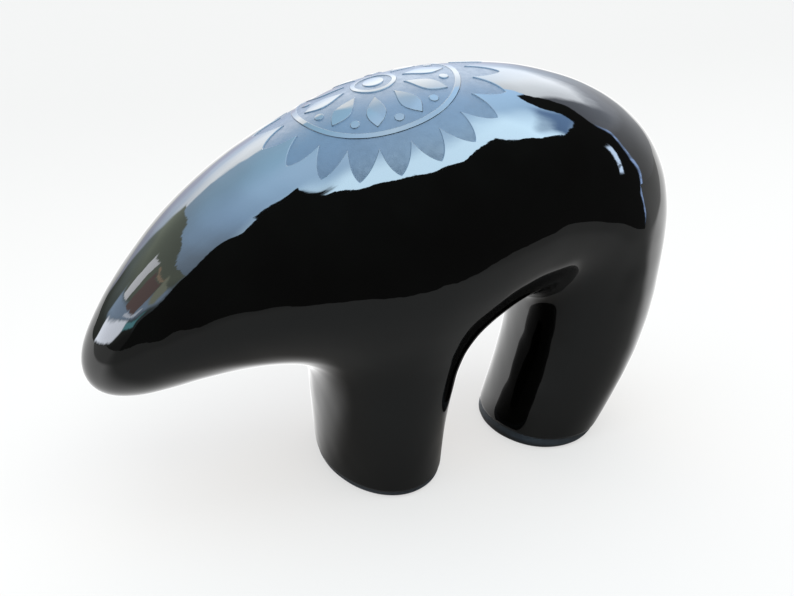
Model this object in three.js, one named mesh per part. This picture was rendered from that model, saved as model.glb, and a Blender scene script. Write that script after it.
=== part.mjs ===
// Ceramic bear figurine, cast as one body and glazed. Millimetres, +Z up.
// The head points along -X, and the two sides are alike about Y = 0.
// The origin is on the ground, below the middle of the bear's length.
import * as THREE from 'three';

// Driving sizes
const LENGTH = 150;
const FOOT_EDGE_RISE = 1.6;
const FOOT_EDGE_INSET = 1.2;
const FOOT_EDGE_STEPS = 2;
const FACET = 3.7;

// The figure is a free form, so its pose and proportions are shares of its length.
// x and z are places in the side view, r is the radius there and w the half width across.
const SPINE = [
  { x: -0.463, z: 0.256, r: 0.062, w: 0.061 }, // nose
  { x: -0.322, z: 0.356, r: 0.126, w: 0.120 }, // brow
  { x: -0.174, z: 0.425, r: 0.171, w: 0.170 }, // neck
  { x: 0.004, z: 0.426, r: 0.239, w: 0.232 }, // shoulders
  { x: 0.155, z: 0.500, r: 0.190, w: 0.196 }, // back
  { x: 0.367, z: 0.467, r: 0.152, w: 0.163 }, // rump
  { x: 0.358, z: 0.402, r: 0.137, w: 0.147 }, // thighs
  { x: 0.390, z: 0.214, r: 0.118, w: 0.149 }, // hocks
  { x: 0.242, z: -0.093, r: 0.087, w: 0.114 }, // rear feet, run on below the ground
];
const FORELEG = [
  { x: -0.015, z: -0.093, r: 0.101, w: 0.157 }, // front feet, run on below the ground
  { x: -0.029, z: 0.110, r: 0.111, w: 0.158 }, // wrists
  { x: 0.010, z: 0.308, r: 0.141, w: 0.162 }, // forearms
  { x: 0.010, z: 0.512, r: 0.161, w: 0.169 }, // chest
];
const LEG_BLEND = 0.098 * LENGTH;

// Each limb is a row of balls along a curve. The softness joins them into one smooth skin,
// and the spread is the length of curve whose balls together bring the skin out to r.
const SPINE_BALLS = 64;
const FORELEG_BALLS = 24;
const BALL_SOFTNESS = 0.020 * LENGTH;
const BALL_SPREAD = 0.140 * LENGTH;

// How the facets are evened out over the skin
const RELAX_ROUNDS = 10;
const RELAX_SHARE = 0.6;
const SETTLE_ROUNDS = 3;

// A point of the smooth curve that starts at the first station, ends at the last and
// passes near the others. It is a uniform cubic B-spline.
function curvePoint(stations, along) {
  const last = stations.length - 1;
  const span = Math.min(Math.floor(along), last - 1);
  const u = along - span;
  const weights = [
    (1 - u) ** 3 / 6,
    (3 * u ** 3 - 6 * u ** 2 + 4) / 6,
    (-3 * u ** 3 + 3 * u ** 2 + 3 * u + 1) / 6,
    u ** 3 / 6,
  ];
  const value = (key, i) => {
    if (i < 0) return 2 * stations[0][key] - stations[1][key];
    if (i > last) return 2 * stations[last][key] - stations[last - 1][key];
    return stations[i][key];
  };
  const blend = (key) => weights.reduce((sum, weight, n) => sum + weight * value(key, span - 1 + n), 0);
  return {
    x: LENGTH * blend('x'),
    z: LENGTH * blend('z'),
    r: LENGTH * blend('r'),
    w: LENGTH * blend('w'),
  };
}

function limb(stations, count) {
  const balls = [];
  for (let i = 0; i < count; i += 1) {
    balls.push(curvePoint(stations, (i * (stations.length - 1)) / (count - 1)));
  }
  const gap = (a, b) => (a && b ? Math.hypot(a.x - b.x, a.z - b.z) : 0);
  balls.forEach((ball, i) => {
    ball.squeeze = (ball.r / ball.w) ** 2;
    ball.weight = (gap(balls[i - 1], ball) + gap(ball, balls[i + 1])) / 2 / BALL_SPREAD;
  });
  return balls;
}

const spine = limb(SPINE, SPINE_BALLS);
const foreleg = limb(FORELEG, FORELEG_BALLS);

// Distance from a limb's skin, softened over its balls, and the slope of that distance
function limbField(balls, p) {
  const reach = balls.map((b) => Math.hypot(p.x - b.x, p.y * Math.sqrt(b.squeeze), p.z - b.z));
  const nearest = reach.reduce((least, d, i) => Math.min(least, d - balls[i].r), Infinity);
  const slope = new THREE.Vector3();
  let total = 0;
  balls.forEach((b, i) => {
    const share = b.weight * Math.exp((nearest - reach[i] + b.r) / BALL_SOFTNESS);
    total += share;
    slope.x += (share * (p.x - b.x)) / reach[i];
    slope.y += (share * p.y * b.squeeze) / reach[i];
    slope.z += (share * (p.z - b.z)) / reach[i];
  });
  return { distance: nearest - BALL_SOFTNESS * Math.log(total), slope: slope.divideScalar(total) };
}

// The bear's skin is where this distance is zero. The forelegs run into the chest in a
// smooth hollow curve.
function bearField(p) {
  const limbs = [limbField(spine, p), limbField(foreleg, p)];
  const [near, far] = limbs.sort((a, b) => a.distance - b.distance);
  const overlap = Math.max(0, 1 - (far.distance - near.distance) / LEG_BLEND);
  const distance = near.distance - (LEG_BLEND * overlap ** 3) / 6;
  const slope = near.slope.clone().lerp(far.slope, overlap ** 2 / 2);
  return { distance, slope };
}

// The rounded edge round the underside of the feet is a few rings of vertices, each at
// its own height and drawn in by its own inset.
const footRings = [];
for (let i = 0; i <= FOOT_EDGE_STEPS; i += 1) {
  const turn = (i / FOOT_EDGE_STEPS) * (Math.PI / 2);
  footRings.push({
    height: FOOT_EDGE_RISE * (1 - Math.cos(turn)),
    inset: FOOT_EDGE_INSET * (1 - Math.sin(turn)),
  });
}

// Planes of the grid that finds the skin. One row of cells is centred on Y = 0, so the
// crest of the back has its own line of vertices.
function lengthPlanes() {
  const half = Math.ceil(LENGTH / 2 / FACET) + 1;
  return Array.from({ length: 2 * half + 1 }, (_, i) => (i - half) * FACET);
}

function widthPlanes() {
  const widest = Math.max(...spine.map((ball) => ball.w));
  const half = Math.ceil(widest / FACET) + 1.5;
  return Array.from({ length: 2 * half + 1 }, (_, i) => (i - half) * FACET);
}

function heightPlanes() {
  const tallest = Math.max(...spine.map((ball) => ball.z + ball.r));
  const heights = footRings.map((ring) => ring.height);
  while (heights.at(-1) < tallest + 2 * FACET) heights.push(heights.at(-1) + FACET);
  const between = heights.slice(1).map((height, i) => (height + heights[i]) / 2);
  return [-between[0], ...between];
}

const grid = { x: lengthPlanes(), y: widthPlanes(), z: heightPlanes() };
const cornerKey = (i, j, k) => (i * grid.y.length + j) * grid.z.length + k;

function eachCorner(visit) {
  grid.x.forEach((x, i) => {
    grid.y.forEach((y, j) => {
      grid.z.forEach((z, k) => visit(i, j, k));
    });
  });
}

// Which corners of the grid lie inside the bear. All foot rings share one outline, so that
// each has as many vertices as the next.
function cornersInside() {
  const inside = [];
  const corner = new THREE.Vector3();
  const footTop = grid.z[footRings.length];
  eachCorner((i, j, k) => {
    corner.set(grid.x[i], grid.y[j], Math.max(grid.z[k], footTop));
    inside[cornerKey(i, j, k)] = grid.z[k] > 0 && bearField(corner).distance < 0;
  });
  return inside;
}

// A vertex in the middle of a cell. In the lowest cells it belongs to a ring of the foot
// edge, or to the sole within the rings.
function makeVertex(inside, i, j, k) {
  const ring = footRings[k];
  const above = [[i, j], [i + 1, j], [i, j + 1], [i + 1, j + 1]];
  return {
    ring,
    sole: k === 0 && above.every(([a, b]) => inside[cornerKey(a, b, 1)]),
    neighbours: new Set(),
    point: new THREE.Vector3(
      (grid.x[i] + grid.x[i + 1]) / 2,
      (grid.y[j] + grid.y[j + 1]) / 2,
      ring ? ring.height : (grid.z[k] + grid.z[k + 1]) / 2,
    ),
  };
}

// The skin as four-sided faces: one across each grid edge that leads out of the bear,
// joining the vertices of the four cells round that edge.
function findSkin() {
  const edges = [
    { step: [1, 0, 0], cells: [[0, -1, -1], [0, 0, -1], [0, 0, 0], [0, -1, 0]] },
    { step: [0, 1, 0], cells: [[-1, 0, -1], [-1, 0, 0], [0, 0, 0], [0, 0, -1]] },
    { step: [0, 0, 1], cells: [[-1, -1, 0], [0, -1, 0], [0, 0, 0], [-1, 0, 0]] },
  ];
  const inside = cornersInside();
  const vertices = [];
  const quads = [];
  const vertexAt = new Map();
  const vertexIn = (i, j, k) => {
    const cell = cornerKey(i, j, k);
    if (!vertexAt.has(cell)) {
      vertexAt.set(cell, vertices.length);
      vertices.push(makeVertex(inside, i, j, k));
    }
    return vertexAt.get(cell);
  };
  eachCorner((i, j, k) => {
    for (const { step, cells } of edges) {
      const here = Boolean(inside[cornerKey(i, j, k)]);
      const next = Boolean(inside[cornerKey(i + step[0], j + step[1], k + step[2])]);
      if (here !== next) {
        const quad = cells.map((cell) => vertexIn(i + cell[0], j + cell[1], k + cell[2]));
        quads.push(here ? quad : quad.reverse());
      }
    }
  });
  quads.forEach((quad) => {
    quad.forEach((v, n) => {
      vertices[v].neighbours.add(quad[(n + 1) % 4]);
      vertices[v].neighbours.add(quad[(n + 3) % 4]);
    });
  });
  return { vertices, quads };
}

// Moves a vertex onto the skin. On a foot ring it keeps its height, and on the sole it
// only stays on the ground.
function settle({ point, ring, sole }) {
  if (sole) return;
  for (let i = 0; i < SETTLE_ROUNDS; i += 1) {
    const { distance, slope } = bearField(point);
    const missing = -distance - (ring ? ring.inset : 0);
    if (ring) slope.z = 0;
    point.addScaledVector(slope, missing / slope.lengthSq());
  }
}

// Evens out the facets, keeping every vertex on the skin.
function relax(vertices) {
  const middle = (vertex) => {
    const sum = new THREE.Vector3();
    vertex.neighbours.forEach((n) => sum.add(vertices[n].point));
    return sum.divideScalar(vertex.neighbours.size);
  };
  vertices.forEach(settle);
  for (let round = 0; round < RELAX_ROUNDS; round += 1) {
    const targets = vertices.map(middle);
    vertices.forEach((vertex, n) => {
      if (vertex.ring) targets[n].z = vertex.ring.height;
      vertex.point.lerp(targets[n], RELAX_SHARE);
      settle(vertex);
    });
  }
}

// Splits each face along the diagonal that lies closer to the skin.
function split(vertices, [a, b, c, d]) {
  const misfit = (one, other) => {
    const middle = vertices[one].point.clone().lerp(vertices[other].point, 0.5);
    return Math.abs(bearField(middle).distance);
  };
  return misfit(a, c) <= misfit(b, d) ? [a, b, c, a, c, d] : [a, b, d, b, c, d];
}

function bearGeometry() {
  const { vertices, quads } = findSkin();
  relax(vertices);
  const positions = vertices.flatMap(({ point }) => point.toArray());
  const geometry = new THREE.BufferGeometry();
  geometry.setAttribute('position', new THREE.Float32BufferAttribute(positions, 3));
  geometry.setIndex(quads.flatMap((quad) => split(vertices, quad)));
  geometry.computeVertexNormals();
  return geometry;
}

// Black glaze, glassy and dense
const blackGlaze = new THREE.MeshStandardMaterial({
  color: 0x08090c,
  roughness: 0.06,
  metalness: 0,
});

const bear = new THREE.Mesh(bearGeometry(), blackGlaze);
bear.name = 'bear';

const figurine = new THREE.Group();
figurine.name = 'bear_figurine';
figurine.add(bear);

export default figurine;
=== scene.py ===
import math

import bpy
import numpy as np
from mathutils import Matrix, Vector
from mathutils.geometry import delaunay_2d_cdt


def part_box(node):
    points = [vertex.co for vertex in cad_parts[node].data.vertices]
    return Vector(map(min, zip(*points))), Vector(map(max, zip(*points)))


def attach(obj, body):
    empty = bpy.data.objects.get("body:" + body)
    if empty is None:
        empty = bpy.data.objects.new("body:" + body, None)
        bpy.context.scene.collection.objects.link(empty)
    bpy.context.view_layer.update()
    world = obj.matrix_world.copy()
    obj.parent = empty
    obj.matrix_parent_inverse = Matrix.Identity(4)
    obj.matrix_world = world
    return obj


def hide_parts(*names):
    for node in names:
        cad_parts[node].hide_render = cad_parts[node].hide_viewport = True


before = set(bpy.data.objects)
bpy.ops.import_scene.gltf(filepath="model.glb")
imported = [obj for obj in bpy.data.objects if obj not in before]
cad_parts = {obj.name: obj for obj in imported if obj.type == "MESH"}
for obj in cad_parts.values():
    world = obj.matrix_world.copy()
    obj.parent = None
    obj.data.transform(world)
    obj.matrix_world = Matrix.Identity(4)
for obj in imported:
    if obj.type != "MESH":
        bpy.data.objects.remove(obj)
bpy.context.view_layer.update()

# Lengths below are in millimetres, and MM brings them to Blender's metres.
MM = 0.001
low, high = (np.array(corner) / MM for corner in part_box("bear"))
LENGTH = high[0] - low[0]

# The form of the cast bear, as in its solid: stations along the spine and down the foreleg.
# Columns are x, z, the radius in the side view and the half width, as shares of the length.
SPINE = LENGTH * np.array([
    (-0.463, 0.256, 0.062, 0.061),  # nose
    (-0.322, 0.356, 0.126, 0.120),  # brow
    (-0.174, 0.425, 0.171, 0.170),  # neck
    (0.004, 0.426, 0.239, 0.232),  # shoulders
    (0.155, 0.500, 0.190, 0.196),  # back
    (0.367, 0.467, 0.152, 0.163),  # rump
    (0.358, 0.402, 0.137, 0.147),  # thighs
    (0.390, 0.214, 0.118, 0.149),  # hocks
    (0.242, -0.093, 0.087, 0.114),  # rear feet, run on below the ground
])
FORELEG = LENGTH * np.array([
    (-0.015, -0.093, 0.101, 0.157),  # front feet, run on below the ground
    (-0.029, 0.110, 0.111, 0.158),  # wrists
    (0.010, 0.308, 0.141, 0.162),  # forearms
    (0.010, 0.512, 0.161, 0.169),  # chest
])
SPINE_BALLS = 64
FORELEG_BALLS = 24
BALL_SOFTNESS = 0.020 * LENGTH
BALL_SPREAD = 0.140 * LENGTH
LEG_BLEND = 0.098 * LENGTH

# The cast surface
CELL = 1.15
FOOT_EDGE_RISE = 1.6
FOOT_EDGE_INSET = 1.2
FOOT_EDGE_STEPS = 6
BAND_CELL = 0.45
BAND_REACH = 5.5
GRID_MARGIN = 2
SETTLE_ROUNDS = 2
RELAX_ROUNDS = 6
RELAX_SHARE = 0.6

# The glaze stops short of the ground, and leaves a band of bare clay round each foot.
GLAZE_THICKNESS = 0.16
GLAZE_LIP = 0.5
FRONT_BAND = 2.1
REAR_BAND = 3.3
BAND_CHANGE = (12.0, 30.0)
BAND_WAVE = 0.18
# Radians per millimetre and the phase of the line's wave, along x and along y
BAND_WAVE_X = (0.31, 1.0)
BAND_WAVE_Y = (0.27, 0.5)

# Unevenness of the hand-finished surface under the glaze: waves in random directions
WAVES = 28
WAVE_LENGTHS = (5.0, 22.0)
WAVE_SLOPE = 0.0042
SEED = 7

# A length that counts as none, and how many points are worked on at a time
TINY = 1e-9
CHUNK = 20000


def smooth_step(value, start, end):
    share = np.clip((value - start) / (end - start), 0, 1)
    return share * share * (3 - 2 * share)


def unit(vectors):
    """The vectors at a length of 1."""
    return vectors / np.maximum(np.linalg.norm(vectors, axis=1), TINY)[:, None]


def spline_points(stations, count):
    """A uniform cubic B-spline that starts at the first station and ends at the last."""
    ends = 2 * stations[0] - stations[1], 2 * stations[-1] - stations[-2]
    rows = np.vstack([ends[0], stations, ends[1]])
    along = np.linspace(0, len(stations) - 1, count)
    span = np.minimum(along.astype(int), len(stations) - 2)
    u = (along - span)[:, None]
    weights = (
        (1 - u) ** 3 / 6,
        (3 * u ** 3 - 6 * u ** 2 + 4) / 6,
        (-3 * u ** 3 + 3 * u ** 2 + 3 * u + 1) / 6,
        u ** 3 / 6,
    )
    return sum(weight * rows[span + n] for n, weight in enumerate(weights))


class Limb:
    """A row of balls along a curve, joined into one smooth skin."""

    def __init__(self, stations, count):
        balls = spline_points(stations, count)
        self.x, self.z, self.r, width = balls.T
        self.squeeze = (self.r / width) ** 2
        gaps = np.hypot(np.diff(self.x), np.diff(self.z))
        self.weight = (np.append(gaps, 0) + np.append(0, gaps)) / 2 / BALL_SPREAD

    def field(self, points):
        """Distance from the limb's skin, and its slope."""
        dx = points[:, 0, None] - self.x
        dz = points[:, 2, None] - self.z
        y = points[:, 1, None]
        reach = np.sqrt(dx * dx + dz * dz + y * y * self.squeeze)
        gap = reach - self.r
        nearest = gap.min(1)
        share = self.weight * np.exp((nearest[:, None] - gap) / BALL_SOFTNESS)
        total = share.sum(1)
        share /= reach
        slope = np.stack([
            (share * dx).sum(1), (share * y * self.squeeze).sum(1), (share * dz).sum(1),
        ], 1)
        return nearest - BALL_SOFTNESS * np.log(total), slope / total[:, None]


LIMBS = [Limb(SPINE, SPINE_BALLS), Limb(FORELEG, FORELEG_BALLS)]


def cast_form(points):
    """Distance from the cast form and its slope. The forelegs run into the chest in a hollow curve."""
    distance = np.empty(len(points))
    slope = np.empty((len(points), 3))
    for start in range(0, len(points), CHUNK):
        part = slice(start, start + CHUNK)
        (a, slope_a), (b, slope_b) = (limb.field(points[part]) for limb in LIMBS)
        overlap = np.maximum(0, 1 - np.abs(a - b) / LEG_BLEND)
        distance[part] = np.minimum(a, b) - LEG_BLEND * overlap ** 3 / 6
        share = overlap ** 2 / 2
        share_b = np.where(a < b, share, 1 - share)[:, None]
        slope[part] = slope_a * (1 - share_b) + slope_b * share_b
    return distance, slope


def make_waves():
    """The waves of the unevenness: their vectors, heights and phases."""
    random = np.random.default_rng(SEED)
    directions = unit(random.normal(size=(WAVES, 3)))
    lengths = np.geomspace(*WAVE_LENGTHS, WAVES)
    vectors = directions * (2 * np.pi / lengths)[:, None]
    heights = WAVE_SLOPE * lengths / (2 * np.pi)
    return vectors, heights, random.uniform(0, 2 * np.pi, WAVES)


WAVE_VECTORS, WAVE_HEIGHTS, WAVE_PHASES = make_waves()


def unevenness(points):
    """The height of the waves, and its slope."""
    phase = points @ WAVE_VECTORS.T + WAVE_PHASES
    return np.sin(phase) @ WAVE_HEIGHTS, (np.cos(phase) * WAVE_HEIGHTS) @ WAVE_VECTORS


def band_height(points):
    """Height of the glaze line above the ground."""
    share = smooth_step(points[:, 0], *BAND_CHANGE)
    along = np.sin(points[:, 0] * BAND_WAVE_X[0] + BAND_WAVE_X[1])
    across = np.sin(points[:, 1] * BAND_WAVE_Y[0] + BAND_WAVE_Y[1])
    return FRONT_BAND + (REAR_BAND - FRONT_BAND) * share + BAND_WAVE * (along * across)


def glaze_lip(points):
    """How far the bare band lies in from the glaze, and the slope of that with height."""
    above = points[:, 2] - band_height(points)
    share = np.clip(above / GLAZE_LIP + 0.5, 0, 1)
    inset = GLAZE_THICKNESS * (1 - share * share * (3 - 2 * share))
    return inset, -GLAZE_THICKNESS * 6 * share * (1 - share) / GLAZE_LIP


def skin(points):
    """Distance from the finished surface and its slope."""
    distance, slope = cast_form(points)
    wave, wave_slope = unevenness(points)
    inset, inset_slope = glaze_lip(points)
    slope = slope + wave_slope
    slope[:, 2] += inset_slope
    return distance + wave + inset, slope


# The rounded edge round the underside of the feet: rings of vertices at set heights
RING_TURNS = np.linspace(0, math.pi / 2, FOOT_EDGE_STEPS + 1)
RING_HEIGHTS = FOOT_EDGE_RISE * (1 - np.cos(RING_TURNS))
RING_INSETS = FOOT_EDGE_INSET * (1 - np.sin(RING_TURNS))


def grid_planes():
    """Planes of the grid that finds the skin. One row of cells is centred on the crest."""
    half_length = math.ceil(LENGTH / 2 / CELL) + GRID_MARGIN
    half_width = math.ceil(high[1] / CELL) + GRID_MARGIN + 0.5
    x = np.arange(-half_length, half_length + 1) * CELL
    y = np.arange(-half_width, half_width + 1) * CELL
    heights = list(RING_HEIGHTS)
    while heights[-1] < high[2] + (GRID_MARGIN + 1) * CELL:
        heights.append(heights[-1] + (BAND_CELL if heights[-1] < BAND_REACH else CELL))
    middle = (np.array(heights[1:]) + np.array(heights[:-1])) / 2
    return x, y, np.concatenate([[-middle[0]], middle])


# The four cells round a grid edge along each axis, in the turn that faces a quad outwards
CELLS_ROUND_EDGE = np.array([
    [(0, -1, -1), (0, 0, -1), (0, 0, 0), (0, -1, 0)],
    [(-1, 0, -1), (-1, 0, 0), (0, 0, 0), (0, 0, -1)],
    [(-1, -1, 0), (0, -1, 0), (0, 0, 0), (-1, 0, 0)],
])


def find_skin():
    """The skin as quads: each vertex's start point and foot ring, and whether it is on a sole.

    The foot ring is -1 off the rounded foot edge."""
    planes = grid_planes()
    shape = tuple(len(p) for p in planes)
    foot_top = planes[2][len(RING_HEIGHTS)]
    tall = np.maximum(planes[2], foot_top)
    corners = np.stack(np.meshgrid(planes[0], planes[1], tall, indexing="ij"), -1)
    inside = (cast_form(corners.reshape(-1, 3))[0] < 0).reshape(shape)
    inside[:, :, planes[2] <= 0] = False
    quads = []
    for axis in range(3):
        here = np.moveaxis(inside, axis, 0)[:-1]
        there = np.moveaxis(inside, axis, 0)[1:]
        crossing = np.moveaxis(here != there, 0, axis)
        leaving = np.moveaxis(here & ~there, 0, axis)
        at = np.argwhere(crossing)
        cells = at[:, None, :] + CELLS_ROUND_EDGE[axis][None]
        outward = leaving[tuple(at.T)]
        cells[~outward] = cells[~outward][:, ::-1]
        quads.append(cells)
    quads = np.concatenate(quads)
    keys = np.ravel_multi_index(tuple(np.moveaxis(quads, -1, 0)), shape)
    used, quads = np.unique(keys, return_inverse=True)
    quads = quads.reshape(-1, 4)
    cell = np.stack(np.unravel_index(used, shape), 1)
    points = np.stack([(planes[a][cell[:, a]] + planes[a][cell[:, a] + 1]) / 2 for a in range(3)], 1)
    ring = np.where(cell[:, 2] < len(RING_HEIGHTS), cell[:, 2], -1)
    points[ring >= 0, 2] = RING_HEIGHTS[ring[ring >= 0]]
    i, j, k = cell.T
    above = inside[i, j, 1] & inside[i + 1, j, 1] & inside[i, j + 1, 1] & inside[i + 1, j + 1, 1]
    return points, quads, ring, (k == 0) & above


def settle(points, ring, sole, rounds):
    """Moves the points onto the skin. Those of a foot ring keep their height, and those of a sole stay."""
    on_ring = ring >= 0
    inset = np.where(on_ring, RING_INSETS[ring], 0)
    for _ in range(rounds):
        distance, slope = skin(points)
        slope[on_ring, 2] = 0
        step = -(distance + inset) / np.maximum((slope ** 2).sum(1), TINY)
        step[sole] = 0
        points = points + step[:, None] * slope
    return points


def quad_sides(quads):
    return np.concatenate([np.stack([quads[:, n], quads[:, (n + 1) % 4]], 1) for n in range(4)])


def relax(points, quads, ring, sole):
    """Evens out the quads over the skin."""
    ends = quad_sides(quads)
    ends = np.concatenate([ends, ends[:, ::-1]])
    count = np.bincount(ends[:, 0], minlength=len(points))
    points = settle(points, ring, sole, SETTLE_ROUNDS)
    for _ in range(RELAX_ROUNDS):
        middle = np.stack([
            np.bincount(ends[:, 0], points[ends[:, 1], a], len(points)) / count for a in range(3)
        ], 1)
        middle[ring >= 0, 2] = RING_HEIGHTS[ring[ring >= 0]]
        points = settle(points + RELAX_SHARE * (middle - points), ring, sole, 1)
    return settle(points, ring, sole, SETTLE_ROUNDS)


def skin_normals(points, ring, sole):
    """Outward normals of the skin, turned down round the foot edge."""
    normals = unit(skin(points)[1])
    turn = np.where(ring >= 0, RING_TURNS[ring], math.pi / 2)
    flat = unit(normals * (1, 1, 0))
    rise, inset = FOOT_EDGE_RISE * np.sin(turn), FOOT_EDGE_INSET * np.cos(turn)
    round_normals = unit(flat * rise[:, None] + np.stack([0 * inset, 0 * inset, -inset], 1))
    normals = np.where((ring >= 0)[:, None], round_normals, normals)
    normals[sole] = (0, 0, -1)
    return normals


# The etched rosette on the back. It is laid out on a plane, s along the ridge and t round the
# back, and that plane is wrapped on to the skin round a straight axis inside the body.
AXIS_FRONT = LENGTH * np.array([-0.22, 0.39])
AXIS_BACK = LENGTH * np.array([0.25, 0.46])
AXIS_REACH = (-20.0, 0.62 * LENGTH)
AXIS_STEPS = 240
RAY_LENGTH = 0.22 * LENGTH
RAY_ROUNDS = 8
BACK_LEVEL = 0.45 * LENGTH
ROSETTE_X = -0.022 * LENGTH
ROSETTE_RADIUS = 30.0
ROSETTE_MARGIN = 2.0
PETALS = 20
PETAL_HEIGHT = 7.2
PETAL_POINT = 0.45
RING = (18.6, 19.9)
LEAVES = 10
LEAF_REACH = (7.3, 17.3)
LEAF_WIDTH = 4.4
LEAF_SKEW = 1.25
BUD_PLACE = 16.1
BUD_RADIUS = 1.1
HUB = (4.3, 5.4)
HUB_DISC = 2.5

# The etching's walls lean: how far they reach outside and inside their outline, and how deep
# their lip lies, as a share of the depth
ETCH_DEPTH = 0.25
WALL = (0.12, 0.14)
LIP_SHARE = 0.35
LEAN_STEP = 0.05
CORNER_CLEARANCE = 0.97

# Points that draw each outline, and the steps of the mesh
CIRCLE_POINTS = 720
PETAL_POINTS = 400
LEAF_POINTS = 200
OUTLINE_STEP = 0.42
FILL_STEP = 1.0
FILL_CLEARANCE = 0.42
FILL_CHUNK = 500
MERGE_GAP = 1e-6


class Wrap:
    """Places on the skin for places on the rosette's plane, and back."""

    def __init__(self):
        along = AXIS_BACK - AXIS_FRONT
        along = along / np.hypot(*along)
        self.start = np.array([AXIS_FRONT[0], 0, AXIS_FRONT[1]])
        self.along = np.array([along[0], 0, along[1]])
        self.up = np.array([-along[1], 0, along[0]])
        self.u = np.linspace(*AXIS_REACH, AXIS_STEPS)
        self.height = np.full(len(self.u), RAY_LENGTH)
        ridge = self.cast(self.u, np.zeros(len(self.u)), self.height)
        self.height = (ridge - self.start) @ self.up
        steps = np.linalg.norm(np.diff(ridge, axis=0), axis=1)
        self.s = np.append(0, np.cumsum(steps))
        self.s -= np.interp(ROSETTE_X, ridge[:, 0], self.s)

    def cast(self, u, turn, reach):
        """Where rays leave the body, each from a place along the axis and at a turn from upright."""
        ray = np.sin(turn)[:, None] * (0, 1, 0) + np.cos(turn)[:, None] * self.up
        start = self.start + u[:, None] * self.along
        for _ in range(RAY_ROUNDS):
            points = start + reach[:, None] * ray
            distance, slope = skin(points)
            reach = reach - distance / (slope * ray).sum(1)
        return start + reach[:, None] * ray

    def to_skin(self, plane):
        u = np.interp(plane[:, 0], self.s, self.u)
        height = np.interp(u, self.u, self.height)
        return self.cast(u, plane[:, 1] / height, height)

    def to_plane(self, points):
        u = (points - self.start) @ self.along
        height = (points - self.start) @ self.up
        turn = np.arctan2(points[:, 1], height)
        return np.stack([np.interp(u, self.u, self.s), turn * np.interp(u, self.u, self.height)], 1)


def even_steps(loop, pieces, step):
    """The closed outline again, with its points a step apart and one at the end of each equal piece."""
    closed = np.vstack([loop, loop[:1]])
    parts = []
    for n in range(pieces):
        piece = closed[n * len(loop) // pieces:(n + 1) * len(loop) // pieces + 1]
        length = np.append(0, np.cumsum(np.linalg.norm(np.diff(piece, axis=0), axis=1)))
        count = max(3, round(length[-1] / step))
        at = np.arange(count) / count * length[-1]
        parts.append(np.stack([np.interp(at, length, piece[:, a]) for a in range(2)], 1))
    return np.concatenate(parts)


def polar(radius, turn):
    return np.stack([radius * np.cos(turn), radius * np.sin(turn)], 1)


def circle(radius, centre=(0, 0)):
    turn = np.linspace(0, 2 * np.pi, CIRCLE_POINTS, endpoint=False)
    return polar(np.full(CIRCLE_POINTS, radius), turn) + centre


def petal_rim():
    turn = np.linspace(0, 2 * np.pi, PETAL_POINTS * PETALS, endpoint=False)
    across = np.abs((turn * PETALS / np.pi) % 2 - 1)
    drop = PETAL_POINT * across + (1 - PETAL_POINT) * across ** 2
    return polar(ROSETTE_RADIUS - PETAL_HEIGHT * drop, turn)


def leaf(turn):
    """A leaf that points away from the hub at a turn, down one side and back up the other."""
    down = np.linspace(0, 1, LEAF_POINTS, endpoint=False)
    sides = []
    for share, side in ((down, -1), (1 - down, 1)):
        reach = LEAF_REACH[0] + (LEAF_REACH[1] - LEAF_REACH[0]) * share
        half = LEAF_WIDTH / 2 * np.sin(np.pi * share ** LEAF_SKEW)
        sides.append(np.stack([reach, side * half], 1))
    outline = np.concatenate(sides)
    cos, sin = math.cos(turn), math.sin(turn)
    return outline @ np.array([(cos, sin), (-sin, cos)])


def rosette_outlines():
    """Each closed outline, counter-clockwise, with 1 where the gloss is outside it and -1 inside."""
    outlines = [(petal_rim(), 2 * PETALS, 1)]
    outlines += [(circle(RING[1]), 1, -1), (circle(RING[0]), 1, 1)]
    outlines += [(circle(HUB[1]), 1, -1), (circle(HUB[0]), 1, 1), (circle(HUB_DISC), 1, -1)]
    for n in range(LEAVES):
        turn = 2 * np.pi * n / LEAVES
        outlines.append((leaf(turn), 2, -1))
        between = turn + np.pi / LEAVES
        bud = (BUD_PLACE * math.cos(between), BUD_PLACE * math.sin(between))
        outlines.append((circle(BUD_RADIUS, bud), 1, -1))
    return [(even_steps(loop, pieces, OUTLINE_STEP), side) for loop, pieces, side in outlines]


def moved_off(loop, shift):
    """The outline moved outwards, and which way outwards is at each of its points.

    Points that a sharp corner brings too near the outline are left out."""
    ahead = np.roll(loop, -1, 0) - loop
    tangent = unit(ahead)
    tangent = tangent + np.roll(tangent, 1, 0)
    outward = unit(np.stack([tangent[:, 1], -tangent[:, 0]], 1))
    moved = loop + outward * shift
    along = moved[:, None] - loop
    share = np.clip((along * ahead).sum(2) / (ahead ** 2).sum(1), 0, 1)
    gap = np.linalg.norm(along - share[:, :, None] * ahead, axis=2).min(1)
    kept = gap >= CORNER_CLEARANCE * abs(shift)
    return moved[kept], outward[kept]


def inside_loop(points, loop):
    """Whether each point lies inside the closed loop."""
    x, y = points[:, 0, None], points[:, 1, None]
    (x0, y0), (x1, y1) = loop.T, np.roll(loop, -1, 0).T
    spans = (y0 > y) != (y1 > y)
    crossing = x0 + (y - y0) * (x1 - x0) / np.where(y1 == y0, TINY, y1 - y0)
    return (spans & (x < crossing)).sum(1) % 2 == 1


def loop_edges(start, count):
    return [(start + n, start + (n + 1) % count) for n in range(count)]


# What a vertex of the rosette is: on the gloss, on the lip of a wall, at its foot, or etched
GLOSS, LIP, FOOT, ETCHED = range(4)


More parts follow.
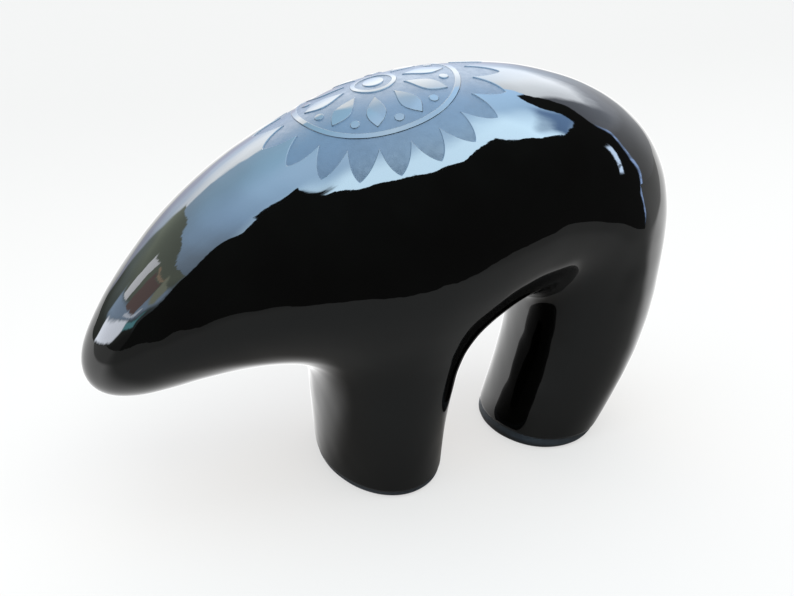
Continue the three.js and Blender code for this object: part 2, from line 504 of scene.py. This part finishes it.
def fill_places(border, fixed):
    """Places in even rows inside the border, clear of the fixed ones."""
    reach = np.abs(border).max() + FILL_STEP
    rows = np.arange(-reach, reach, FILL_STEP * math.sqrt(3) / 2)
    columns = np.arange(-reach, reach, FILL_STEP)
    fill = np.array([(x + (n % 2) * FILL_STEP / 2, y) for n, y in enumerate(rows) for x in columns])
    fill = fill[inside_loop(fill, border)]
    clear = np.ones(len(fill), bool)
    for start in range(0, len(fill), FILL_CHUNK):
        part = slice(start, start + FILL_CHUNK)
        gap = np.hypot(*(fill[part, None] - fixed[None]).transpose(2, 0, 1)).min(1)
        clear[part] = gap > FILL_CLEARANCE
    return fill[clear]


def rosette_plan(border):
    """The rosette's plane as triangles inside the border: places, kinds, lip directions and faces."""
    outlines = rosette_outlines()
    places = [border]
    kinds = [np.full(len(border), GLOSS)]
    leans = [np.zeros_like(border)]
    edges = loop_edges(0, len(border))
    total = len(border)
    for loop, side in outlines:
        for shift, kind in ((WALL[0], GLOSS), (0.0, LIP), (-WALL[1], FOOT)):
            row, outward = moved_off(loop, side * shift)
            places.append(row)
            kinds.append(np.full(len(row), kind))
            leans.append(-side * outward)
            edges += loop_edges(total, len(row))
            total += len(row)
    fill = fill_places(border, np.concatenate(places))
    depth = sum(inside_loop(fill, loop).astype(int) for loop, _ in outlines)
    places.append(fill)
    kinds.append(np.where(depth % 2 == 1, ETCHED, GLOSS))
    leans.append(np.zeros_like(fill))
    places = np.concatenate(places)
    made = delaunay_2d_cdt([Vector(p) for p in places], edges, [], 1, MERGE_GAP)
    if len(made[0]) != len(places):
        raise ValueError("the rosette's outlines touch each other")
    first = [sources[0] for sources in made[3]]
    faces = [[first[v] for v in face] for face in made[2]]
    return places, np.concatenate(kinds), np.concatenate(leans), faces


def cut_hole(quads, inside):
    """Takes out the quads that touch the inside, and returns the rest and the border round the hole."""
    gone = inside[quads].any(1)
    while True:
        pairs = {tuple(side) for side in quad_sides(quads[gone]).tolist()}
        border = {a: b for a, b in pairs if (b, a) not in pairs}
        starts = [a for a, b in pairs if (b, a) not in pairs]
        if len(starts) == len(border):
            break
        pinched = {a for a in starts if starts.count(a) > 1}
        gone |= np.isin(quads, list(pinched)).any(1)
    loop = [starts[0]]
    while border[loop[-1]] != loop[0]:
        loop.append(border[loop[-1]])
    return quads[~gone], np.array(loop)


def add_rosette(points, quads, normals):
    """Replaces the skin under the rosette by the rosette itself, and tells which faces are etched."""
    wrap = Wrap()
    plane = wrap.to_plane(points)
    near = (points[:, 2] > BACK_LEVEL) & (np.abs(plane[:, 0]) < 2 * ROSETTE_RADIUS)
    inside = near & (np.hypot(*plane.T) < ROSETTE_RADIUS + ROSETTE_MARGIN)
    quads, border = cut_hole(quads, inside)
    places, kinds, leans, faces = rosette_plan(plane[border])
    own = np.arange(len(places)) >= len(border)
    on_skin = wrap.to_skin(places[own])
    up = unit(skin(on_skin)[1])
    kind = kinds[own]
    depth = ETCH_DEPTH * np.choose(kind, [0.0, LIP_SHARE, 1.0, 1.0])
    leaning = wrap.to_skin(places[own] + LEAN_STEP * leans[own]) - on_skin
    leaning = unit(leaning - (leaning * up).sum(1)[:, None] * up)
    tilt = np.choose(kind, [0.0, ETCH_DEPTH / sum(WALL), 0.0, 0.0])[:, None]
    facing = unit(up + tilt * leaning)
    index = np.concatenate([border, np.arange(own.sum()) + len(points)])
    points = np.concatenate([points, on_skin - depth[:, None] * up])
    normals = np.concatenate([normals, facing])
    etched = [any(kinds[v] >= FOOT for v in face) for face in faces]
    faces = [[int(index[v]) for v in face] for face in faces]
    return points, quads.tolist() + faces, normals, [False] * len(quads) + etched


def drop_unused(points, faces, normals):
    used, renumbered = np.unique(np.concatenate([np.array(face) for face in faces]), return_inverse=True)
    sizes = np.cumsum([len(face) for face in faces])[:-1]
    return points[used], [face.tolist() for face in np.split(renumbered, sizes)], normals[used]


def make_mesh(name, points, faces, normals):
    mesh = bpy.data.meshes.new(name)
    mesh.from_pydata((points * MM).tolist(), [], faces)
    mesh.polygons.foreach_set("use_smooth", [True] * len(mesh.polygons))
    mesh.validate()
    mesh.normals_split_custom_set_from_vertices(normals.tolist())
    piece = bpy.data.objects.new(name, mesh)
    bpy.context.scene.collection.objects.link(piece)
    return piece


class Nodes:
    """Short ways to add shader nodes to a tree."""

    def __init__(self, tree):
        self.tree = tree
        tree.nodes.clear()

    def add(self, kind, **settings):
        node = self.tree.nodes.new(kind)
        for key, value in settings.items():
            setattr(node, key, value)
        return node

    def link(self, socket, source):
        if isinstance(source, bpy.types.NodeSocket):
            self.tree.links.new(source, socket)
        else:
            socket.default_value = source

    def math(self, operation, *values):
        node = self.add("ShaderNodeMath", operation=operation)
        for socket, value in zip(node.inputs, values):
            self.link(socket, value)
        return node.outputs[0]

    def product(self, first, *others):
        for other in others:
            first = self.math("MULTIPLY", first, other)
        return first

    def split(self, vector):
        node = self.add("ShaderNodeSeparateXYZ")
        self.link(node.inputs[0], vector)
        return node.outputs

    def ramp_up(self, value, start, end, low=0.0, high=1.0):
        node = self.add("ShaderNodeMapRange", interpolation_type="SMOOTHSTEP")
        for socket, source in zip(node.inputs, (value, start, end, low, high)):
            self.link(socket, source)
        return node.outputs[0]

    def ramp_down(self, value, start, end):
        return self.ramp_up(value, start, end, 1.0, 0.0)

    def between(self, value, start, end, soft):
        """1 from the start to the end, and 0 outside, with soft ends."""
        up = self.ramp_up(value, start - soft, start + soft)
        return self.product(up, self.ramp_down(value, end - soft, end + soft))

    def mix(self, share, first, second):
        node = self.add("ShaderNodeMix", data_type="RGBA")
        self.link(node.inputs[0], share)
        self.link(node.inputs[6], first)
        self.link(node.inputs[7], second)
        return node.outputs[2]

    def noise(self, vector, scale, detail=2.0, roughness=0.5):
        node = self.add("ShaderNodeTexNoise")
        self.link(node.inputs["Vector"], vector)
        node.inputs["Scale"].default_value = scale
        node.inputs["Detail"].default_value = detail
        node.inputs["Roughness"].default_value = roughness
        return node.outputs[0]

    def colours(self, value, stops):
        node = self.add("ShaderNodeValToRGB")
        self.link(node.inputs[0], value)
        elements = node.color_ramp.elements
        while len(elements) < len(stops):
            elements.new(1.0)
        for element, (place, colour) in zip(elements, stops):
            element.position = place
            element.color = (*colour, 1)
        return node.outputs[0]

    def bump(self, shader, height, strength):
        """Bumps under a shader, from a height in millimetres."""
        node = self.add("ShaderNodeBump")
        node.inputs["Distance"].default_value = MM
        node.inputs["Strength"].default_value = strength
        self.link(node.inputs["Height"], height)
        self.link(shader.inputs["Normal"], node.outputs[0])


def new_material(name):
    """A material of one shader: the material, its nodes and the shader."""
    material = bpy.data.materials.new(name)
    material.use_nodes = True
    nodes = Nodes(material.node_tree)
    shader = nodes.add("ShaderNodeBsdfPrincipled")
    nodes.link(nodes.add("ShaderNodeOutputMaterial").inputs["Surface"], shader.outputs[0])
    return material, nodes, shader


# Colours hold stops of noise and colour, and roughness its least and most.
GLAZE_IOR = 1.5
GLAZE_COLOURS = ((0.35, (0.0004, 0.0003, 0.0002)), (0.7, (0.0008, 0.0007, 0.0005)))
GLAZE_ROUGHNESS = (0.012, 0.032)
GLAZE_PEEL = 0.010
CLAY_COLOURS = ((0.3, (0.009, 0.009, 0.010)), (0.7, (0.017, 0.016, 0.016)))
CLAY_ROUGHNESS = 0.62
CLAY_GRAIN = 0.10
GLAZE_LINE_SOFTNESS = 0.08
GLAZE_LINE_RAGGED = 0.5
# The etched glaze's dark blue base is partly its own tone and partly a painted sheen of the blue sky.
ETCHED_TONE_AND_SHEEN = ((0.3, (0.0030, 0.0080, 0.0150)), (0.7, (0.0050, 0.0120, 0.0210)))
ETCHED_ROUGHNESS = (0.34, 0.42)
ETCHED_SPECULAR = 0.32
ETCHED_GRAIN = 0.05


def glaze_material():
    """Black gloss above the glaze line, and bare dark clay below it."""
    material, nodes, shader = new_material("black_glaze")
    place = nodes.add("ShaderNodeTexCoord").outputs["Object"]
    above = nodes.add("ShaderNodeAttribute", attribute_name="above_glaze_line").outputs["Fac"]
    noise = nodes.noise(place, 900.0, 3.0)
    ragged = nodes.math("MULTIPLY_ADD", noise, GLAZE_LINE_RAGGED, -GLAZE_LINE_RAGGED / 2)
    glazed = nodes.ramp_up(nodes.math("ADD", above, ragged), -GLAZE_LINE_SOFTNESS, GLAZE_LINE_SOFTNESS)
    glaze = nodes.colours(nodes.noise(place, 70.0, 3.0), GLAZE_COLOURS)
    clay = nodes.colours(nodes.noise(place, 500.0, 4.0, 0.7), CLAY_COLOURS)
    nodes.link(shader.inputs["Base Color"], nodes.mix(glazed, clay, glaze))
    gloss = nodes.ramp_up(nodes.noise(place, 45.0, 2.0), 0.3, 0.8, *GLAZE_ROUGHNESS)
    matte = nodes.ramp_up(glazed, 0.0, 1.0, CLAY_ROUGHNESS, 0.0)
    nodes.link(shader.inputs["Roughness"], nodes.math("ADD", gloss, matte))
    shader.inputs["IOR"].default_value = GLAZE_IOR
    peel = nodes.product(nodes.noise(place, 260.0, 2.0), GLAZE_PEEL)
    grain = nodes.product(nodes.noise(place, 2600.0, 3.0), nodes.ramp_up(glazed, 0, 1, CLAY_GRAIN, 0.0))
    nodes.bump(shader, nodes.math("ADD", peel, grain), 0.6)
    return material


def etched_material():
    """The glaze where it is etched: satin instead of glossy, and a little paler, its dark blue partly its
    own frosted tone and partly a painted sheen of the blue sky.
    """
    material, nodes, shader = new_material("etched_glaze")
    place = nodes.add("ShaderNodeTexCoord").outputs["Object"]
    colour = nodes.colours(nodes.noise(place, 180.0, 4.0), ETCHED_TONE_AND_SHEEN)
    nodes.link(shader.inputs["Base Color"], colour)
    satin = nodes.ramp_up(nodes.noise(place, 700.0, 3.0), 0.3, 0.7, *ETCHED_ROUGHNESS)
    nodes.link(shader.inputs["Roughness"], satin)
    shader.inputs["IOR"].default_value = GLAZE_IOR
    shader.inputs["Specular IOR Level"].default_value = ETCHED_SPECULAR
    nodes.bump(shader, nodes.product(nodes.noise(place, 2200.0, 3.0, 0.7), ETCHED_GRAIN), 0.5)
    return material


def build_bear():
    points, quads, ring, sole = find_skin()
    points = relax(points, quads, ring, sole)
    normals = skin_normals(points, ring, sole)
    points, faces, normals, etched = add_rosette(points, quads, normals)
    points, faces, normals = drop_unused(points, faces, normals)
    piece = make_mesh("bear_glazed", points, faces, normals)
    attribute = piece.data.attributes.new("above_glaze_line", "FLOAT", "POINT")
    attribute.data.foreach_set("value", points[:, 2] - band_height(points))
    piece.data.materials.append(glaze_material())
    piece.data.materials.append(etched_material())
    piece.data.polygons.foreach_set("material_index", np.array(etched, dtype=np.int32))
    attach(piece, "root")
    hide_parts("bear")
    return piece


# The studio. Radiance is a share of display white, and angles are in degrees: azimuth 0 is
# towards the front, -Y, and 90 towards +X. Each ramp holds stops of elevation and radiance.
SKY_SCALE = 24.0
BACKDROP = (0.955, 0.95, 0.945)
EDGE_WAVER = 3.8
OPEN_SKY = (
    (-4, (0.1, 0.1, 0.1)), (28, (2.4, 3.2, 4.2)), (45, (4.3, 6.6, 9.6)), (60, (5.9, 9.1, 12.8)),
    (76, (6.9, 10.2, 14.0)), (90, (9.0, 12.0, 15.0)),
)
LEFT_SKY = (
    (28, (2.2, 3.0, 3.9)), (45, (3.2, 5.1, 6.9)), (60, (4.4, 7.4, 10.2)), (76, (6.9, 10.2, 14.0)),
    (90, (9.0, 12.0, 15.0)),
)
REAR_SKY = (
    (-6, (0.95, 0.95, 0.98)), (6, (1.4, 1.5, 1.9)), (16, (2.8, 3.3, 4.0)), (28, (6.4, 6.8, 7.2)),
    (48, (7.9, 8.5, 9.0)), (60, (5.2, 7.2, 9.4)), (74, (5.8, 8.8, 12.4)), (90, (9.0, 12.0, 15.0)),
)
FRONT_GLARE = (12.4, 17.0, 20.6)
DIM_LEFT = (
    (-4, (0.15, 0.15, 0.15)), (4, (0.30, 0.34, 0.30)), (12, (0.8, 0.95, 0.9)), (20, (1.4, 1.6, 1.3)),
    (32, (1.3, 1.5, 1.25)),
)
REFLECTOR = (
    (-18, (0.60, 0.60, 0.60)), (3, (0.80, 0.82, 0.85)), (14, (0.98, 1.02, 1.1)), (22, (1.5, 1.6, 1.8)),
    (26, (2.9, 3.1, 3.4)), (30, (5.2, 5.5, 5.9)), (46, (7.0, 7.5, 8.0)),
)
REFLECTOR_SHADE = (1.1, 1.2, 1.4)
REFLECTOR_EDGE = (3.0, 4.3, 7.2)
DARK = (0.06, 0.06, 0.06)
STREAK = (8.5, 10.8, 14.0)

# The dim stretch on the left ends upwards in an arched line.
ARCH_MIDDLE = -112.0
ARCH_HALF_WIDTH = 44.0
ARCH_TOP = 35.0
ARCH_DROP = 16.0

# The reflector's edge leans, and curls away above a bend. Its light follows a slanting level.
EDGE_PLACE = 79.0
EDGE_LEAN = 0.45
EDGE_LOWEST = -8.0
EDGE_BEND = 33.0
EDGE_CURL = 0.125
LEVEL_SLANT = 0.35
LEVEL_MIDDLE = 118.0

# Panels: two azimuths, two elevations, radiance, softness of the edges, slope of top and bottom
LEFT_PANELS = (
    ((-122, -68), (8, 15), (2.4, 3.2, 4.3), 2.0, 0.0),
    ((-116, -104), (15.5, 26.5), (6.8, 7.0, 7.4), 0.5, 0.0),
    ((-98, -80), (12, 21.5), (1.5, 1.1, 1.05), 0.5, -0.25),
    ((-99, -79), (22.2, 23.2), (3.4, 2.6, 1.9), 0.5, -0.25),
    ((-93, -76), (9.6, 10.8), (6.4, 7.0, 8.0), 0.5, -0.10),
    ((-79, -71), (12, 19), (2.6, 2.8, 2.2), 1.0, -0.80),
    ((-116, -82), (0, 8), (9.6, 10.2, 11.4), 1.2, 0.0),
    ((-82, -70), (1.5, 6.5), (1.2, 3.2, 3.6), 1.0, 0.0),
)
FRONT_PANELS = (
    ((-62, -46), (43, 57), DARK, 0.4, -0.30),
    ((-56, -43), (43, 56), DARK, 2.0, -0.30),
    ((70, 97), (36, 47), (1.6, 2.8, 5.0), 4.0, 0.20),
)


def scaled(radiance):
    return tuple(share / SKY_SCALE for share in radiance)


class StudioSky:
    """The light from each direction, built up from soft-edged panels laid over each other."""

    def __init__(self, nodes):
        self.nodes = nodes
        self.direction = nodes.add("ShaderNodeTexCoord").outputs["Generated"]
        x, y, z = nodes.split(self.direction)
        to_degrees = 180 / math.pi
        noise = nodes.noise(self.direction, 16.0, 8.0, 0.68)
        waver = nodes.math("MULTIPLY_ADD", noise, EDGE_WAVER, -EDGE_WAVER / 2)
        elevation = nodes.math("MULTIPLY", nodes.math("ARCSINE", z), to_degrees)
        turn = nodes.math("ARCTAN2", x, nodes.math("MULTIPLY", y, -1.0))
        self.elevation = nodes.math("ADD", elevation, waver)
        self.azimuth = nodes.math("MULTIPLY_ADD", turn, to_degrees, waver)
        self.colour = None

    def patches(self, scale, start, end, low):
        """A share that changes from place to place, between the low one and 1."""
        return self.nodes.ramp_up(self.nodes.noise(self.direction, scale, 3.0), start, end, low)

    def under(self, top, soft):
        """1 below a line, given by its elevation, and 0 above it."""
        return self.nodes.ramp_down(self.nodes.math("SUBTRACT", self.elevation, top), -soft, soft)

    def past(self, side, soft):
        """0 before a line, given by its azimuth, and 1 past it."""
        return self.nodes.ramp_up(self.nodes.math("SUBTRACT", self.azimuth, side), -soft, soft)

    def before(self, side, soft):
        """1 before a line, given by its azimuth, and 0 past it."""
        return self.nodes.ramp_down(self.nodes.math("SUBTRACT", self.azimuth, side), -soft, soft)

    def ramp(self, stops, elevation=None):
        """A colour by elevation, from stops of degrees above the horizon and radiance."""
        place = self.nodes.math("MULTIPLY_ADD", elevation or self.elevation, 1 / 180, 0.5)
        stops = [(degrees / 180 + 0.5, scaled(radiance)) for degrees, radiance in stops]
        return self.nodes.colours(place, stops)

    def lay(self, mask, colour):
        """Lays a colour, a tuple or a socket, over what is there."""
        if isinstance(colour, tuple):
            colour = (*scaled(colour), 1)
        self.colour = self.nodes.mix(mask, self.colour, colour)

    def panel(self, azimuths, elevations, radiance, soft, slant):
        """A panel between two azimuths and two elevations, whose top and bottom edges may slope."""
        nodes = self.nodes
        level = self.elevation
        if slant:
            drop = nodes.math("MULTIPLY_ADD", self.azimuth, -slant, slant * sum(azimuths) / 2)
            level = nodes.math("ADD", self.elevation, drop)
        across = nodes.between(self.azimuth, *azimuths, soft)
        self.lay(nodes.product(across, nodes.between(level, *elevations, soft)), radiance)


def lay_open_sky(sky):
    """Pale light overhead, with its own ramps on the left and at the rear, and a glare in front."""
    nodes = sky.nodes
    sky.colour = sky.ramp(OPEN_SKY)
    sky.lay(nodes.ramp_down(sky.azimuth, -145.0, -88.0), sky.ramp(LEFT_SKY))
    rear_end = nodes.ramp_up(sky.elevation, 18.0, 50.0, -140.0, -175.0)
    left_rear = nodes.ramp_up(nodes.math("SUBTRACT", rear_end, sky.azimuth), -2.5, 2.5)
    right_rear = nodes.ramp_up(sky.azimuth, 138.0, 158.0)
    sky.lay(nodes.math("MAXIMUM", left_rear, right_rear), sky.ramp(REAR_SKY))
    in_front = nodes.between(sky.azimuth, -52.0, 84.0, 16.0)
    sky.lay(nodes.product(in_front, nodes.ramp_down(sky.elevation, 58.0, 72.0)), FRONT_GLARE)


def lay_dim_left(sky):
    """A dim stretch low on the left, with brighter panels in it."""
    nodes = sky.nodes
    across = nodes.math("MULTIPLY_ADD", sky.azimuth, 1 / ARCH_HALF_WIDTH, -ARCH_MIDDLE / ARCH_HALF_WIDTH)
    arch = nodes.math("MULTIPLY_ADD", nodes.product(across, across), -ARCH_DROP, ARCH_TOP)
    stretch = nodes.between(sky.azimuth, -149.0, -67.0, 2.5)
    sky.lay(nodes.product(sky.under(arch, 0.3), stretch), sky.ramp(DIM_LEFT))
    for panel in LEFT_PANELS:
        sky.panel(*panel)


def lay_dark_flags(sky):
    """A wide dark flag in front, a tall one on its left, and its return on the right with a streak."""
    nodes = sky.nodes
    left_end = nodes.ramp_up(sky.elevation, 31.0, 37.0, -67.0, -58.0)
    right_end = nodes.ramp_up(sky.elevation, 36.0, 48.0, 70.0, 54.0)
    right_top = nodes.ramp_up(sky.azimuth, 26.0, 58.0, 48.6, 54.0)
    top = nodes.math("ADD", right_top, nodes.ramp_up(sky.azimuth, -45.0, -20.0, 4.0, 0.0))
    sky.lay(nodes.product(sky.past(left_end, 0.4), sky.before(right_end, 0.4), sky.under(top, 0.2)), DARK)
    for panel in FRONT_PANELS:
        sky.panel(*panel)
    return_top = nodes.ramp_up(sky.azimuth, 80.0, 112.0, 37.5, 50.0)
    across = nodes.between(sky.azimuth, 50.0, 121.0, 1.0)
    sky.lay(nodes.product(sky.under(return_top, 0.3), across), DARK)
    streak_line = nodes.math("MULTIPLY_ADD", sky.elevation, 0.33, 65.8)
    beside = nodes.math("SUBTRACT", sky.azimuth, streak_line)
    tall = nodes.between(sky.elevation, 6.0, 24.0, 1.5)
    streak = nodes.product(nodes.between(beside, -0.4, 3.6, 0.7), tall, sky.patches(14.0, 0.38, 0.52, 0.25))
    sky.lay(streak, STREAK)


def lay_reflector(sky):
    """A pale reflector on the right, shaded on its left side, with a lit edge."""
    nodes = sky.nodes
    lean = nodes.math("MAXIMUM", sky.elevation, EDGE_LOWEST)
    edge = nodes.math("MULTIPLY_ADD", lean, EDGE_LEAN, EDGE_PLACE)
    above_bend = nodes.math("MAXIMUM", nodes.math("SUBTRACT", sky.elevation, EDGE_BEND), 0.0)
    edge = nodes.math("MULTIPLY_ADD", nodes.product(above_bend, above_bend), EDGE_CURL, edge)
    past_edge = nodes.math("SUBTRACT", sky.azimuth, edge)
    slope = nodes.math("MULTIPLY_ADD", sky.azimuth, LEVEL_SLANT, -LEVEL_SLANT * LEVEL_MIDDLE)
    level = nodes.math("ADD", sky.elevation, slope)
    shade = nodes.product(nodes.ramp_down(sky.azimuth, 111.0, 117.0), nodes.ramp_up(level, 18.0, 24.0))
    light = nodes.mix(shade, sky.ramp(REFLECTOR, level), (*scaled(REFLECTOR_SHADE), 1))
    across = nodes.product(nodes.ramp_up(past_edge, -0.6, 0.6), nodes.ramp_down(sky.azimuth, 134.0, 160.0))
    sky.lay(nodes.product(across, nodes.ramp_down(sky.elevation, 47.0, 51.0)), light)
    tall = nodes.between(sky.elevation, -20.0, 29.0, 3.0)
    lit = nodes.product(nodes.between(past_edge, -1.1, 1.1, 0.7), tall, sky.patches(11.0, 0.42, 0.60, 0.45))
    sky.lay(lit, REFLECTOR_EDGE)


def build_studio_light():
    world = bpy.data.worlds.new("studio")
    bpy.context.scene.world = world
    world.use_nodes = True
    nodes = Nodes(world.node_tree)
    background = nodes.add("ShaderNodeBackground")
    nodes.link(nodes.add("ShaderNodeOutputWorld").inputs["Surface"], background.outputs[0])
    sky = StudioSky(nodes)
    lay_open_sky(sky)
    lay_dim_left(sky)
    lay_dark_flags(sky)
    lay_reflector(sky)
    sky.lay(nodes.add("ShaderNodeLightPath").outputs["Is Camera Ray"], BACKDROP)
    nodes.link(background.inputs["Color"], sky.colour)
    background.inputs["Strength"].default_value = SKY_SCALE


# The floor ends in front of the bear, where the dark flag shows in the glaze, and its front edge
# is a little wavy: each wave has a height and radians per millimetre.
FLOOR_FRONT = -105.0
FLOOR_NOTCH = ((150.0, -105.0), (196.0, -62.0))
FLOOR_FRONT_RIGHT = -590.0
FLOOR_SIDE = 2500.0
FLOOR_BACK = 2500.0
FLOOR_EDGE_WAVES = ((1.6, 0.11), (1.1, 0.29), (0.7, 0.67))
FLOOR_EDGE_START = -400.0
FLOOR_EDGE_STEP = 3.0

# The floor is pale to the eye, and in the glaze it shows dimmer, a painted shade. A share of its light is
# its own, a painted glow. To the eye that share changes a little from near to far.
FLOOR_TONE = (0.090, 0.067, 0.052)
FLOOR_PAINTED_GLOW = (0.61, 0.51)
FLOOR_GLOW_PLACE = (-20.0, 380.0)

# In the glaze the painted glow grows away from the dark flag, a painted shade in front, and falls again far
# out at the sides, a painted shade there too.
FLOOR_PAINTED_SHADE_TONE = (0.070, 0.052, 0.040)
FLOOR_PAINTED_DIM_GLOW = (0.10, 1.30)
FLOOR_DIM_PLACE = (-2.0, 38.0)
FLOOR_DIM_SLANT = 0.35
FLOOR_SIDE_PAINTED_SHADE = (1.0, 0.23)
FLOOR_SIDE_PLACE = (240.0, 300.0)
FLOOR_SIDE_SLANT = -2.0


def floor_material():
    material, nodes, shader = new_material("pale_floor")
    seen = nodes.add("ShaderNodeLightPath").outputs["Is Camera Ray"]
    # Painted shade: for all but camera rays the floor takes a dimmer copy of its tone.
    nodes.link(shader.inputs["Base Color"], nodes.mix(seen, (*FLOOR_PAINTED_SHADE_TONE, 1), (*FLOOR_TONE, 1)))
    x, y, _ = nodes.split(nodes.add("ShaderNodeTexCoord").outputs["Object"])

    def change(value, places, shares):
        """A share that changes from one place to another, given in millimetres."""
        start, end = (place * MM for place in places)
        return nodes.ramp_up(value, start, end, *shares)

    aside = nodes.math("ABSOLUTE", x)
    away = nodes.math("MULTIPLY_ADD", aside, FLOOR_DIM_SLANT, y)
    far = nodes.math("MULTIPLY_ADD", y, FLOOR_SIDE_SLANT, aside)
    # The floor's painted glow: in the glaze dim in front and far out at the sides, to the eye a little
    # lower far off.
    dim_glow = nodes.product(
        change(away, FLOOR_DIM_PLACE, FLOOR_PAINTED_DIM_GLOW), change(far, FLOOR_SIDE_PLACE, FLOOR_SIDE_PAINTED_SHADE),
    )
    seen_glow = nodes.product(seen, change(y, FLOOR_GLOW_PLACE, FLOOR_PAINTED_GLOW))
    dim_glow = nodes.product(nodes.math("SUBTRACT", 1.0, seen), dim_glow)
    shader.inputs["Roughness"].default_value = 1.0
    shader.inputs["Specular IOR Level"].default_value = 0.0
    shader.inputs["Emission Color"].default_value = (1, 1, 1, 1)
    nodes.link(shader.inputs["Emission Strength"], nodes.math("ADD", seen_glow, dim_glow))
    return material


def build_floor():
    edge_x = np.arange(FLOOR_EDGE_START, FLOOR_NOTCH[0][0], FLOOR_EDGE_STEP)
    edge_y = FLOOR_FRONT + sum(height * np.sin(edge_x * turns) for height, turns in FLOOR_EDGE_WAVES)
    corners = [
        (-FLOOR_SIDE, FLOOR_FRONT), *zip(edge_x, edge_y), *FLOOR_NOTCH, (FLOOR_SIDE, FLOOR_FRONT_RIGHT),
        (FLOOR_SIDE, FLOOR_BACK), (-FLOOR_SIDE, FLOOR_BACK),
    ]
    mesh = bpy.data.meshes.new("floor")
    mesh.from_pydata([(x * MM, y * MM, 0) for x, y in corners], [], [range(len(corners))])
    mesh.materials.append(floor_material())
    floor = bpy.data.objects.new("floor", mesh)
    bpy.context.scene.collection.objects.link(floor)


# The camera, from the outline of the bear in the photograph, 794 by 596 pixels
IMAGE_WIDTH = 794
CAMERA_AZIMUTH = -20.980
CAMERA_ELEVATION = 26.692
CAMERA_DISTANCE = 266.954
CAMERA_TARGET = (2.587, 0.0, 44.000)
CAMERA_FOCAL_PIXELS = 1061.461
SENSOR_WIDTH = 36.0


def build_camera():
    azimuth, elevation = math.radians(CAMERA_AZIMUTH), math.radians(CAMERA_ELEVATION)
    back = Vector((
        math.sin(azimuth) * math.cos(elevation),
        -math.cos(azimuth) * math.cos(elevation),
        math.sin(elevation),
    ))
    data = bpy.data.cameras.new("camera")
    data.sensor_width = SENSOR_WIDTH
    data.lens = CAMERA_FOCAL_PIXELS / IMAGE_WIDTH * SENSOR_WIDTH
    data.clip_start = 0.01
    camera = bpy.data.objects.new("camera", data)
    camera.location = (Vector(CAMERA_TARGET) + CAMERA_DISTANCE * back) * MM
    camera.rotation_euler = (-back).to_track_quat("-Z", "Y").to_euler()
    bpy.context.scene.collection.objects.link(camera)
    bpy.context.scene.camera = camera


build_bear()
build_floor()
build_studio_light()
build_camera()
bpy.context.scene.view_settings.view_transform = "Standard"
